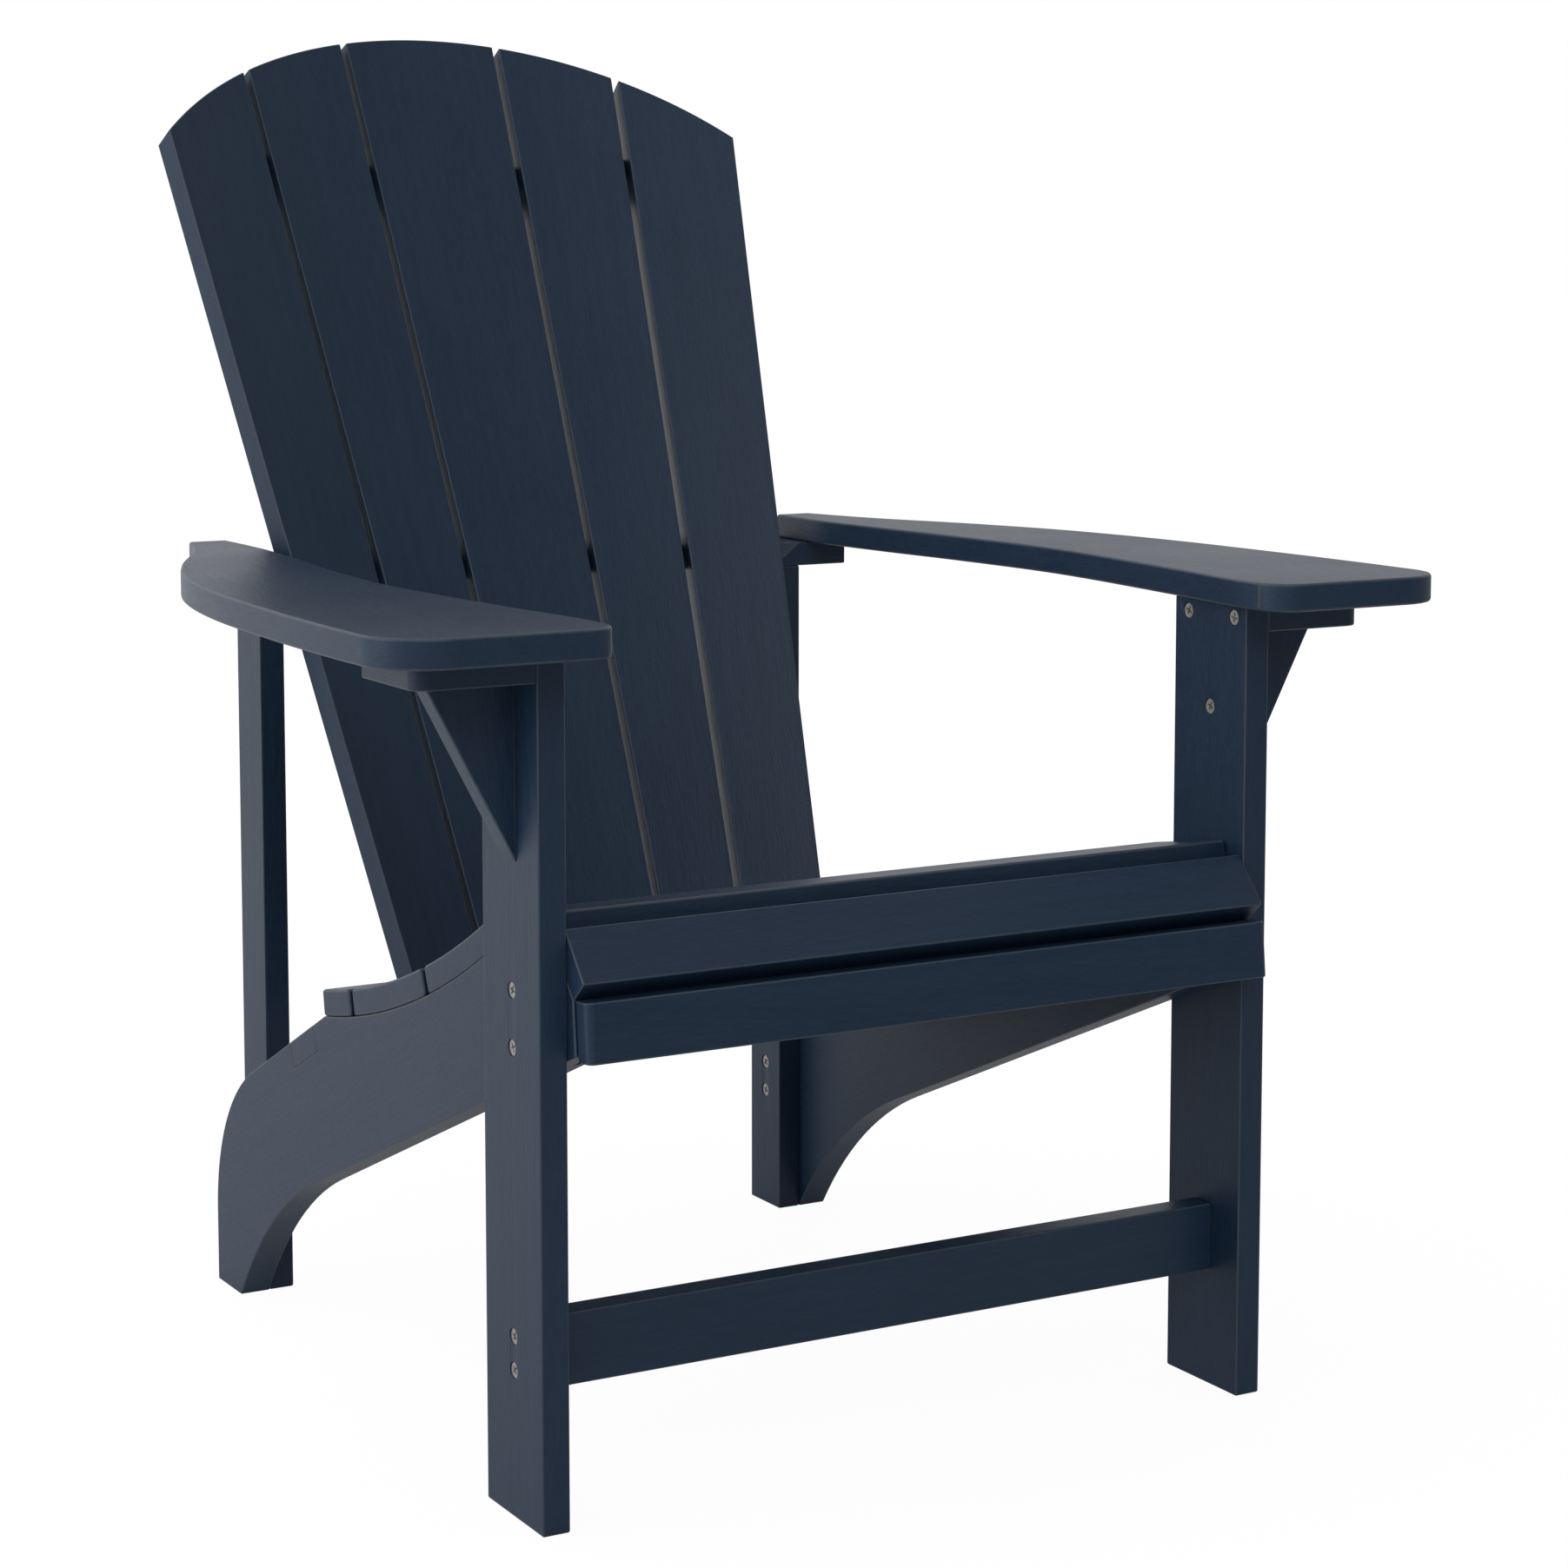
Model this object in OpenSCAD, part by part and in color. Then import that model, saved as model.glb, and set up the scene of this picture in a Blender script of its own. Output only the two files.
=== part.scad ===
// Garden chair with a fanned, contoured back, wide arms and a scooped slatted seat.
// +Z is up and the chair faces -Y. The origin is on the ground under the middle of its footprint.

/* [Overall] */
// Clear width between the front legs, which is also the length of the seat boards
seat_w = 566; // [500:2:640]
// Height of the arm tops above the ground
arm_top_h = 629; // [590:1:680]
// Rearmost point of the seat frame, measured from the fronts of the legs
frame_depth = 673; // [650:1:720]

/* [Boards] */
// Thickness of the boards
board_t = 21; // [18:0.5:25]
// Thickness of the two seat stringers
stringer_t = 26; // [20:0.5:32]
// Width of the narrow boards: rear posts, stretcher and back rails
narrow_w = 54; // [48:1:60]
// Width of the front leg boards
leg_w = 89; // [76:1:100]
// Height of the underside of the front stretcher
stretcher_h = 91; // [60:1:140]

/* [Seat] */
// Radius of the scooped seat surface
seat_r = 900; // [800:10:1100]
// Widths of the three scooped seat boards, from the back to the front
seat_board_w = [54, 139, 128];
// Width of the flat board at the front of the seat
front_board_w = 89; // [76:1:92]
// Gap between seat boards
seat_gap = 7.5; // [4:0.5:12]
// Slope of the flat front board
front_slope = 9.8; // [6:0.1:14]
// Width of the sloping nose board
nose_w = 44; // [38:1:50]
// Lean of the nose board from upright
nose_lean = 41; // [35:1:47]
// Width of the apron board
apron_w = 42; // [34:1:46]
// Lean of the apron board from upright
apron_lean = 5.3; // [0:0.1:9]
// Slope of the stringers' undersides
under_slope = 23.07; // [21:0.01:25]
// Height of the stringers' undersides at the fronts of the legs
under_h = 329; // [315:1:340]
// Radius of the bend above each rear foot
foot_bend_r = 150; // [110:1:170]
// Radius of the curved underside in front of each rear foot
under_bend_r = 380; // [320:5:440]
// Length of each rear foot on the ground
foot_len = 52; // [46:1:60]

/* [Back] */
// Angle of the back from upright
recline = 26.3; // [22:0.1:30]
// Height of the top of the lower back rail
back_foot_h = 255; // [245:1:265]
// Distance of the foot of the back behind the fronts of the legs
back_foot_y = 470.5; // [455:0.5:490]
// Distance along the stringers from the foot of the back to the rear seat board
back_gap = 45; // [38:1:55]
// Radius of the hollow front of the back
back_r = 760; // [600:10:1000]
// Half width of the centre back slat at its foot
centre_foot = 45; // [38:1:52]
// Width of the inner side slats at the foot
inner_foot = 64; // [54:1:68]
// Width of the outer side slats at the foot
outer_foot = 65; // [54:1:72]
// Spread of the centre slat's edges, per metre of height
centre_fan = 30.5; // [20:0.5:40]
// Spread of the inner side slats' outer edges, per metre of height
inner_fan = 74.6; // [60:0.2:85]
// Spread of the outer side slats' outer edges, per metre of height
outer_fan = 116; // [95:0.2:125]
// Gap between back slats
slat_gap = 6; // [3:0.5:10]
// Length of the back at its middle
back_len = 896; // [800:1:950]
// Radius of the rounded top of the back
crown_r = 367; // [340:1:420]
// Distance up the back to the upper back rail
upper_rail_v = 756; // [640:1:770]
// Half length of the upper back rail
upper_rail_half = 240; // [200:1:262]

/* [Arms] */
// Overhang of the arms in front of the legs
arm_front = 58; // [30:1:80]
// Rear end of the arms behind the fronts of the legs
arm_rear = 675; // [670:1:700]
// Reach of the arms outside the ends of the seat boards, at the front
arm_reach = 152; // [130:1:180]
// Radius of the outer front corner of an arm
arm_outer_r = 45; // [20:1:55]
// Radius of the inner front corner of an arm
arm_inner_r = 24; // [10:1:30]
// Reach of the arm cleats and gussets outside the legs
cleat_reach = 88; // [70:1:95]
// Reach of the gussets along the cleats
gusset_reach = 67; // [50:1:72]
// Drop of the gussets below the cleats
gusset_drop = 126; // [90:1:150]
// Radius of the outer front corner of a cleat
cleat_r = 13; // [8:1:30]

/* [Screws] */
// Diameter of the screw heads
head_d = 12; // [10:0.5:14]
// Diameter of the screw shanks
shank_d = 5; // [4:0.5:6]
// Depth of the heads below the board faces
head_sink = 1; // [0.5:0.1:2]
// Diameter of the hidden dowels that hold the seat boards
dowel_d = 8; // [6:1:10]
// Length of the hidden dowels
dowel_len = 34; // [24:1:40]

/* [Hidden] */
$fa = 4;
$fs = 0.4;

navy = "#26303f";
zinc = "#8b8d90";

// Clearances and small offsets
fit = 0.1;            // between a screw and its hole
lap = 0.35;           // overlap that joins the lower rail's straight ends to its arc
big = 2000;           // reach of a cutting block
per_m = 0.001;        // spread per metre to spread per millimetre

// Stations of the frame, before it is centred on the origin
inner_x = seat_w / 2;                      // inner faces of the front legs
leg_x = inner_x + board_t;                 // outer faces of the front legs
stringer_x = inner_x - stringer_t;         // inner faces of the stringers
post_x = stringer_x - board_t;             // inner faces of the rear posts
arm_under = arm_top_h - board_t;
rail_under = arm_under - board_t;
leg_mid = leg_w / 2;
foot_front = frame_depth - foot_len;
foot_mid = frame_depth - foot_len / 2;
stretcher_w = narrow_w - 2;

// Back frame: z runs up the back, y runs out through its rear face, from the lower rail's top
contour = 2.4;        // hollow of the centre slat across its width
edge_turn = 0.8;      // share of the curve's slope that the slats' cut edges follow
back_rear_r = back_r + board_t;
function slat_rear(x, r = back_rear_r) = contour - back_r + sqrt(r * r - x * x);
function from_back(y, z) = [
  back_foot_y + y * cos(recline) + z * sin(recline),
  back_foot_h - y * sin(recline) + z * cos(recline)
];
function back_at(y, h) = from_back(y, (h - back_foot_h + y * sin(recline)) / cos(recline));
inner_in = centre_foot + slat_gap;
inner_out = inner_in + inner_foot;
outer_in = inner_out + slat_gap;
outer_out = outer_in + outer_foot;

// Seat line: the scooped boards lie on an arc of the stringers, from back to front
seat_under_r = seat_r + board_t;
seat_rear = [back_foot_y - back_gap * cos(recline), back_foot_h + back_gap * sin(recline)];
seat_rear_a = 9.15;   // slope of the seat at its rear end
seat_c = seat_rear + seat_under_r * [sin(seat_rear_a), cos(seat_rear_a)];
function arc_a(len) = len / seat_under_r * 180 / PI;
function seat_start(i) =
  i == 0 ? seat_rear_a : seat_start(i - 1) + arc_a(seat_board_w[i - 1] + seat_gap);
function seat_end(i) = seat_start(i) + arc_a(seat_board_w[i]);
front_a = seat_end(2) + arc_a(seat_gap + 2.2);
front_rear = seat_c - seat_under_r * [sin(front_a), cos(front_a)];
front_tip = front_rear + front_board_w * [-cos(front_slope), sin(front_slope)];

// Nose and apron boards, each by the corner of its rear face that touches the board above
nose_up = [sin(nose_lean), cos(nose_lean)];
nose_in = [cos(nose_lean), -sin(nose_lean)];
nose_top = front_tip + 1.5 * nose_in - 0.6 * nose_up;
nose_foot = nose_top - nose_w * nose_up;
apron_up = [sin(apron_lean), cos(apron_lean)];
apron_in = [cos(apron_lean), -sin(apron_lean)];
apron_top = nose_foot + [0.3, -0.1];
apron_foot = apron_top - apron_w * apron_up;

// Stringer outline: straight underside, then a curve tangent to it that ends at the foot
under_t = tan(under_slope);
under_a = foot_front + under_bend_r * sin(under_slope);
under_b = under_h - under_bend_r * cos(under_slope);
under_k = under_a + under_b * under_t;
under_n = 1 + under_t * under_t;
under_q = under_a * under_a + under_b * under_b - under_bend_r * under_bend_r;
under_end = (under_k - sqrt(under_k * under_k - under_n * under_q)) / under_n;
function under_at(y) = [y, under_h - under_t * y];
under_c = under_at(under_end) - under_bend_r * [sin(under_slope), cos(under_slope)];
apron_t = (under_h - under_t * apron_foot[0] - apron_foot[1]) / (apron_up[1] + under_t * apron_up[0]);
stringer_nose = apron_foot + apron_t * apron_up;
shoulder = from_back(0, 0) + (frame_depth - back_foot_y) * [1, -tan(recline)];
bend_len = foot_bend_r * tan((90 - recline) / 2);
bend_c = [frame_depth - foot_bend_r, shoulder[1] - bend_len];

// Lower back rail: its ends lie in notches in the stringers
notch_front = slat_rear(stringer_x) + 2.5;

arm_half_w = inner_x + arm_reach;
arm_waist = 138;      // inward sweep of an arm's outer edge from the front to the rear

// Arm edges as smooth curves through a few stations: distance from the front legs, half width
arm_outer = [
  [-arm_front, arm_half_w], [arm_outer_r - arm_front + 2, arm_half_w], [60, arm_half_w],
  [150, arm_half_w - 3],
  [283, arm_half_w - 12.5], [400, arm_half_w - 33], [500, arm_half_w - 67.5],
  [600, arm_half_w - 114], [arm_rear, arm_half_w - arm_waist]
];
arm_inner = [
  [-arm_front, inner_x - 15], [0, inner_x - 15], [100, inner_x - 3], [266, inner_x + 10],
  [400, inner_x + 2], [500, inner_x - 10], [590, inner_x - 18], [arm_rear, inner_x - 19]
];
curve_steps = 8;
function mix(a, b, c, d, t) = 0.5 * (2 * b + (c - a) * t + (2 * a - 5 * b + 4 * c - d) * t * t
  + (3 * b - a - 3 * c + d) * t * t * t);
function smooth(p) = [
  for (i = [0:len(p) - 2]) for (k = [0:curve_steps - 1])
    mix(p[max(i - 1, 0)], p[i], p[i + 1], p[min(i + 2, len(p) - 1)], k / curve_steps),
  p[len(p) - 1]
];
function swap(p) = [for (q = p) [q[1], q[0]]];
function reversed(p) = [for (i = [len(p) - 1:-1:0]) p[i]];

// Arm-level rail: its front follows the slats, its ends follow the arms' outer edges
arm_rail_v = (rail_under - back_foot_h) / cos(recline);
arm_rail_end = outer_out + outer_fan * per_m * arm_rail_v;
arm_rail_front = back_at(slat_rear(arm_rail_end), rail_under)[0];
arm_rail_mid = back_at(slat_rear(0), rail_under)[0] + narrow_w;
arm_rail_bow_r = 940;
arm_rail_half = arm_half_w - arm_waist - 8;

// Overall depth, which centres the chair on the origin
back_top = from_back(slat_rear(0), back_len);
front_y = -arm_front;
centre_y = (front_y + back_top[0]) / 2;

// ---------- placing ----------
module place() translate([0, -centre_y, 0]) children();

module left() mirror([1, 0, 0]) children();

module both() {
  children();
  left() children();
}

module back_frame() translate([0, back_foot_y, back_foot_h]) rotate([-recline, 0, 0]) children();

// Extrudes an outline drawn in distance behind the legs and height, from x0 to x1
module side_board(x0, x1)
  translate([x0, 0, 0]) rotate([90, 0, 90]) linear_extrude(x1 - x0) children();

// ---------- screws ----------
recess = 3;           // depth of the cross recess
recess_w = 1.3;
head_h = (head_d - shank_d) / 2;
tip_h = 4;

// A countersunk screw along -z, its head's face at z = 0
module screw(len) {
  difference() {
    union() {
      translate([0, 0, -head_h]) cylinder(h = head_h, d1 = shank_d, d2 = head_d);
      translate([0, 0, tip_h - len]) cylinder(h = len - head_h - tip_h + 0.01, d = shank_d);
      translate([0, 0, -len]) cylinder(h = tip_h, d1 = 1, d2 = shank_d);
    }
    for (a = [0, 90]) rotate([0, 0, a])
      translate([-head_d / 4, -recess_w / 2, -recess]) cube([head_d / 2, recess_w, recess + 1]);
  }
}

// Its hole, with a counterbore of the given depth above the head
module screw_hole(len, bore) {
  translate([0, 0, -head_h - fit]) cylinder(h = head_h + fit, d1 = shank_d, d2 = head_d + 2 * fit);
  translate([0, 0, -0.01]) cylinder(h = bore + 1, d = head_d + 2 * fit);
  translate([0, 0, -len - 0.5]) cylinder(h = len, d = shank_d + 2 * fit);
}

leg_screw = 38;
end_screw = 60;
arm_screw = 34;
rail_screw = 45;
dowel_seat = 12;      // reach of a dowel into the board it holds

// Each group of screw sites puts its children at the right-hand screws, heads along +z
module leg_stringer_sites()
  for (z = [332, 372]) translate([leg_x - head_sink, leg_mid - 1, z]) rotate([0, 90, 0]) children();

module leg_stretcher_sites()
  for (z = [-12, 12]) translate([leg_x - head_sink, leg_mid, stretcher_h + stretcher_w / 2 + z])
    rotate([0, 90, 0]) children();

module leg_cleat_sites()
  for (y = [16, leg_w - 16]) translate([inner_x + head_sink, y, rail_under + board_t / 2])
    rotate([0, -90, 0]) children();

module leg_gusset_sites()
  translate([inner_x + head_sink, leg_mid, rail_under - 60]) rotate([0, -90, 0]) children();

module post_stringer_sites()
  for (z = [105, 131]) translate([post_x + head_sink, foot_mid, z]) rotate([0, -90, 0]) children();

module cleat_arm_sites()
  for (y = [17, leg_w - 17]) translate([leg_x + cleat_reach / 2, y, rail_under + head_sink])
    rotate([180, 0, 0]) children();

module cleat_gusset_sites()
  translate([leg_x + gusset_reach / 3, leg_mid, arm_under - head_sink]) children();

module rail_arm_sites()
  for (d = [0, 18]) translate([inner_x + d - 4, foot_mid + 6 - d, rail_under + head_sink])
    rotate([180, 0, 0]) children();

module rail_post_sites()
  for (y = [8, -12]) translate([post_x + board_t / 2, foot_mid + y, arm_under - head_sink])
    children();

module rail_stringer_sites()
  back_frame() translate([inner_x - stringer_t / 2, notch_front + narrow_w / 2, -head_sink])
    children();

// A dowel site lies on a joint between the right-hand stringer and a seat board: at is its
// place from the side, out the direction from the stringer into the board.
module dowel_at(at, out)
  translate([inner_x - stringer_t / 2, at[0], at[1]]) rotate([atan2(out[1], out[0]) - 90, 0, 0])
    children();

module arc_dowel(a) dowel_at(seat_c - seat_under_r * [sin(a), cos(a)], [sin(a), cos(a)]) children();

module board_dowels(i)
  for (k = i == 0 ? [0.5] : [0.2, 0.8]) arc_dowel(seat_start(i) * (1 - k) + seat_end(i) * k) children();

module front_dowels() for (k = [0.3, 0.8])
  dowel_at(front_tip * (1 - k) + front_rear * k, [sin(front_slope), cos(front_slope)]) children();

module nose_dowel() dowel_at((nose_top + nose_foot) / 2, -nose_in) children();

module apron_dowel() dowel_at(apron_foot + apron_w * 0.6 * apron_up, -apron_in) children();

module dowel_sites() {
  for (i = [0:2]) board_dowels(i) children();
  front_dowels() children();
  nose_dowel() children();
  apron_dowel() children();
}

module dowel() translate([0, 0, dowel_seat - dowel_len]) cylinder(h = dowel_len, d = dowel_d);

module dowel_hole()
  translate([0, 0, dowel_seat - dowel_len - 1]) cylinder(h = dowel_len + 2, d = dowel_d + 2 * fit);

// Back screws come through the rails from behind, square to the slats
bore_depth = 26;
end_inset = 20;       // from an end of the upper rail to its last screw, on the rail's rear
upper_end_x = (upper_rail_half - end_inset) * back_rear_r / (back_rear_r + narrow_w);
function slat_mid(i, z) = i == 0 ? centre_foot * 0.5
  : i == 1 ? (inner_in + inner_out + (centre_fan + inner_fan) * per_m * z) / 2
  : (outer_in + outer_out + (inner_fan + outer_fan) * per_m * z) / 2;

module bent_rail_site(x, z) {
  a = asin(x / back_rear_r);
  translate([0, contour - back_r, z]) rotate([0, 0, -a])
    translate([0, back_rear_r + narrow_w - bore_depth, 0]) rotate([-90, 0, 0]) children();
}

module arm_rail_sites(i) {
  x = slat_mid(i, arm_rail_v);
  h = rail_under + board_t / 2;
  translate([x, back_at(slat_rear(x), h)[0] + narrow_w - bore_depth, h]) rotate([-90, 0, 0]) children();
}

module slat_sites(i) {
  upper_mid = upper_rail_v + board_t / 2;
  back_frame() bent_rail_site(slat_mid(i, -board_t / 2), -board_t / 2) children();
  back_frame() bent_rail_site(i == 2 ? upper_end_x : slat_mid(i, upper_mid), upper_mid) children();
  arm_rail_sites(i) children();
}

// ---------- seat frame ----------
module front_leg() color(navy) difference() {
  translate([inner_x, 0, 0]) cube([board_t, leg_w, arm_under]);
  leg_stringer_sites() screw_hole(leg_screw, 2);
  leg_stretcher_sites() screw_hole(end_screw, 2);
  leg_cleat_sites() screw_hole(end_screw, 2);
  leg_gusset_sites() screw_hole(rail_screw, 2);
}

module stringer_outline() difference() {
  polygon([
    stringer_nose, apron_top, nose_foot, nose_top, front_tip, front_rear, seat_rear, shoulder,
    [frame_depth, 0], [under_end, 0], under_at(under_end)
  ]);
  translate(seat_c) circle(r = seat_under_r, $fn = 720);
  translate(under_c) circle(r = under_bend_r, $fn = 360);
  difference() {
    polygon([
      shoulder + bend_len * [-cos(recline), sin(recline)] + [0, 1], shoulder + [1, 1],
      [frame_depth + 1, bend_c[1]], bend_c
    ]);
    translate(bend_c) circle(r = foot_bend_r, $fn = 180);
  }
}

module stringer() color(navy) difference() {
  side_board(stringer_x, inner_x) stringer_outline();
  back_frame() translate([0, notch_front, -board_t]) cube([inner_x + 1, narrow_w, board_t + 1]);
  leg_stringer_sites() screw_hole(leg_screw, 2);
  post_stringer_sites() screw_hole(leg_screw, 2);
  rail_stringer_sites() screw_hole(rail_screw, 2);
  dowel_sites() dowel_hole();
}

module rear_post() color(navy) difference() {
  translate([post_x, foot_front, 0]) cube([board_t, foot_len, rail_under]);
  post_stringer_sites() screw_hole(leg_screw, 2);
  rail_post_sites() screw_hole(end_screw, 2);
}

module front_stretcher() color(navy) difference() {
  translate([-inner_x, leg_mid - board_t / 2, stretcher_h]) cube([seat_w, board_t, stretcher_w]);
  both() leg_stretcher_sites() screw_hole(end_screw, 2);
}

// ---------- seat boards ----------
// A flat board whose rear face starts at foot and runs along up, as long as the seat is wide
module flat_board(foot, up, out, w) side_board(-inner_x, inner_x)
  polygon([foot, foot + w * up, foot + w * up + board_t * out, foot + board_t * out]);

module apron() color(navy) difference() {
  flat_board(apron_foot, apron_up, -apron_in, apron_w);
  both() apron_dowel() dowel_hole();
}

module nose_board() color(navy) difference() {
  flat_board(nose_foot, nose_up, -nose_in, nose_w);
  both() nose_dowel() dowel_hole();
}

module front_seat_board() color(navy) difference() {
  flat_board(front_tip, [cos(front_slope), -sin(front_slope)], [sin(front_slope), cos(front_slope)],
    front_board_w);
  both() front_dowels() dowel_hole();
}

module scooped_board(i) color(navy) difference() {
  side_board(-inner_x, inner_x) intersection() {
    translate(seat_c) difference() {
      circle(r = seat_under_r, $fn = 720);
      circle(r = seat_r, $fn = 720);
    }
    polygon([
      seat_c,
      seat_c - 2 * seat_r * [sin(seat_start(i)), cos(seat_start(i))],
      seat_c - 2 * seat_r * [sin(seat_end(i)), cos(seat_end(i))]
    ]);
  }
  both() board_dowels(i) dowel_hole();
}

// ---------- back ----------
module back_ring(inner, outer, z, h) translate([0, contour - back_r, z]) difference() {
  cylinder(h = h, r = outer, $fn = 720);
  translate([0, 0, -1]) cylinder(h = h + 2, r = inner, $fn = 720);
}

// All that lies on the -x side of an edge that starts at x and spreads by fan, cut nearly
// square to the back's curve
module inside_edge(x, fan) {
  mid_x = x + fan * per_m * back_len / 2;
  a = edge_turn * asin(mid_x / back_r);
  y = slat_rear(mid_x, back_r);
  translate([mid_x, y, back_len / 2]) rotate([0, 0, -a]) rotate([0, atan(fan * per_m * cos(a)), 0])
    translate([-big, -big / 2, -big / 2]) cube(big);
}

module outside_edge(x, fan) difference() {
  translate([0, -big / 2, -big / 4]) cube([big / 2, big, big]);
  inside_edge(x, fan);
}

module crown() intersection() {
  rotate([90, 0, 0]) linear_extrude(big, center = true) union() {
    translate([0, back_len - crown_r]) circle(r = crown_r, $fn = 360);
    translate([-crown_r, -board_t]) square([2 * crown_r, back_len - crown_r + board_t]);
  }
  translate([-big / 2, -big / 4, -board_t]) cube([big, big / 2, back_len + 2 * board_t]);
}

module back_blank() intersection() {
  back_ring(back_r, back_rear_r, -board_t, back_len + board_t);
  crown();
  translate([-big / 2, -back_r / 2, -board_t]) cube([big, back_r, big]);
}

module centre_slat() color(navy) difference() {
  back_frame() intersection() {
    back_blank();
    inside_edge(centre_foot, centre_fan);
    left() inside_edge(centre_foot, centre_fan);
  }
  both() slat_sites(0) screw_hole(rail_screw, narrow_w);
}

module inner_slat() color(navy) difference() {
  back_frame() intersection() {
    back_blank();
    inside_edge(inner_out, inner_fan);
    outside_edge(inner_in, centre_fan);
  }
  slat_sites(1) screw_hole(rail_screw, narrow_w);
}

module outer_slat() color(navy) difference() {
  back_frame() intersection() {
    back_blank();
    inside_edge(outer_out, outer_fan);
    outside_edge(outer_in, inner_fan);
  }
  slat_sites(2) screw_hole(rail_screw, narrow_w);
}

module all_slat_sites() for (i = [0:2]) both() slat_sites(i) children();

module lower_back_rail() color(navy) difference() {
  back_frame() union() {
    intersection() {
      back_ring(back_rear_r, back_rear_r + narrow_w, -board_t, board_t);
      translate([-stringer_x, -back_r / 2, -board_t]) cube([2 * stringer_x, back_r, board_t]);
    }
    both() translate([stringer_x - lap, notch_front, -board_t])
      cube([stringer_t + lap, narrow_w, board_t]);
  }
  all_slat_sites() screw_hole(rail_screw, narrow_w);
  both() rail_stringer_sites() screw_hole(rail_screw, 2);
}

module upper_back_rail() color(navy) difference() {
  back_frame() intersection() {
    back_ring(back_rear_r, back_rear_r + narrow_w, upper_rail_v, board_t);
    translate([-upper_rail_half, -back_r / 2, upper_rail_v]) cube([2 * upper_rail_half, back_r, board_t]);
  }
  all_slat_sites() screw_hole(rail_screw, narrow_w);
}

module arm_rail_outline() intersection() {
  polygon([
    for (s = [1, -1], q = s > 0 ? arm_rail_corners() : reversed(arm_rail_corners())) [s * q[0], q[1]]
  ]);
  translate([0, arm_rail_mid - arm_rail_bow_r]) circle(r = arm_rail_bow_r, $fn = 720);
}

arm_taper = 0.31;     // inward run of an arm's outer edge near its rear end
function arm_rail_corners() = [
  [arm_rail_half + (arm_rear - arm_rail_front) * arm_taper, arm_rail_front],
  [arm_rail_half, arm_rear], [inner_x - 45, arm_rear + 40]
];

module arm_back_rail() color(navy) difference() {
  translate([0, 0, rail_under]) linear_extrude(board_t) arm_rail_outline();
  back_frame() translate([0, contour - back_r, -big / 2]) cylinder(h = big, r = back_rear_r, $fn = 720);
  all_slat_sites() screw_hole(rail_screw, narrow_w);
  both() rail_arm_sites() screw_hole(arm_screw, 2);
  both() rail_post_sites() screw_hole(end_screw, 2);
}

// ---------- arms ----------
module arm_outline() {
  corner_out = [arm_half_w - arm_outer_r, arm_outer_r - arm_front];
  corner_in = [inner_x - 15 + arm_inner_r, arm_inner_r - arm_front];
  difference() {
    polygon(concat(swap(smooth(arm_outer)), reversed(swap(smooth(arm_inner)))));
    difference() {
      translate(corner_out) translate([0, -arm_outer_r - 1]) square(arm_outer_r + 1);
      translate(corner_out) circle(r = arm_outer_r);
    }
    difference() {
      translate(corner_in - [arm_inner_r + 1, arm_inner_r + 1]) square(arm_inner_r + 1);
      translate(corner_in) circle(r = arm_inner_r);
    }
  }
}

module arm() color(navy) difference() {
  translate([0, 0, arm_under]) linear_extrude(board_t) arm_outline();
  cleat_arm_sites() screw_hole(arm_screw, 2);
  rail_arm_sites() screw_hole(arm_screw, 2);
}

module cleat() color(navy) difference() {
  translate([leg_x, 0, rail_under]) difference() {
    cube([cleat_reach, leg_w, board_t]);
    translate([cleat_reach - cleat_r, -1, -1]) difference() {
      cube([cleat_r + 1, cleat_r + 1, board_t + 2]);
      translate([0, cleat_r + 1, 0]) cylinder(h = board_t + 2, r = cleat_r);
    }
  }
  leg_cleat_sites() screw_hole(end_screw, 2);
  cleat_arm_sites() screw_hole(arm_screw, 2);
  cleat_gusset_sites() screw_hole(end_screw, 2);
}

module gusset() color(navy) difference() {
  translate([leg_x, leg_mid + board_t / 2, rail_under]) rotate([90, 0, 0]) linear_extrude(board_t)
    polygon([[0, 0], [0, -gusset_drop], [gusset_reach, 0]]);
  leg_gusset_sites() screw_hole(rail_screw, 2);
  cleat_gusset_sites() screw_hole(end_screw, 2);
}

// ---------- assembly ----------
place() left() front_leg();  // left_front_leg
place() front_leg();  // right_front_leg
place() left() stringer();  // left_stringer
place() stringer();  // right_stringer
place() left() rear_post();  // left_rear_post
place() rear_post();  // right_rear_post
place() front_stretcher();
place() apron();
place() nose_board();
place() front_seat_board();
place() scooped_board(2);  // middle_seat_board
place() scooped_board(1);  // wide_seat_board
place() scooped_board(0);  // rear_seat_board
place() lower_back_rail();
place() arm_back_rail();
place() upper_back_rail();
place() left() outer_slat();  // left_outer_slat
place() left() inner_slat();  // left_inner_slat
place() centre_slat();
place() inner_slat();  // right_inner_slat
place() outer_slat();  // right_outer_slat
place() left() arm();  // left_arm
place() arm();  // right_arm
place() left() cleat();  // left_cleat
place() cleat();  // right_cleat
place() left() gusset();  // left_gusset
place() gusset();  // right_gusset
place() color(zinc) both() leg_stringer_sites() screw(leg_screw);  // leg_to_stringer_screws
place() color(zinc) both() leg_stretcher_sites() screw(end_screw);  // leg_to_stretcher_screws
place() color(zinc) both() leg_cleat_sites() screw(end_screw);  // leg_to_cleat_screws
place() color(zinc) both() leg_gusset_sites() screw(rail_screw);  // leg_to_gusset_screws
place() color(zinc) both() post_stringer_sites() screw(leg_screw);  // post_to_stringer_screws
place() color(zinc) both() cleat_arm_sites() screw(arm_screw);  // cleat_to_arm_screws
place() color(zinc) both() cleat_gusset_sites() screw(end_screw);  // cleat_to_gusset_screws
place() color(zinc) both() rail_arm_sites() screw(arm_screw);  // rail_to_arm_screws
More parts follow.
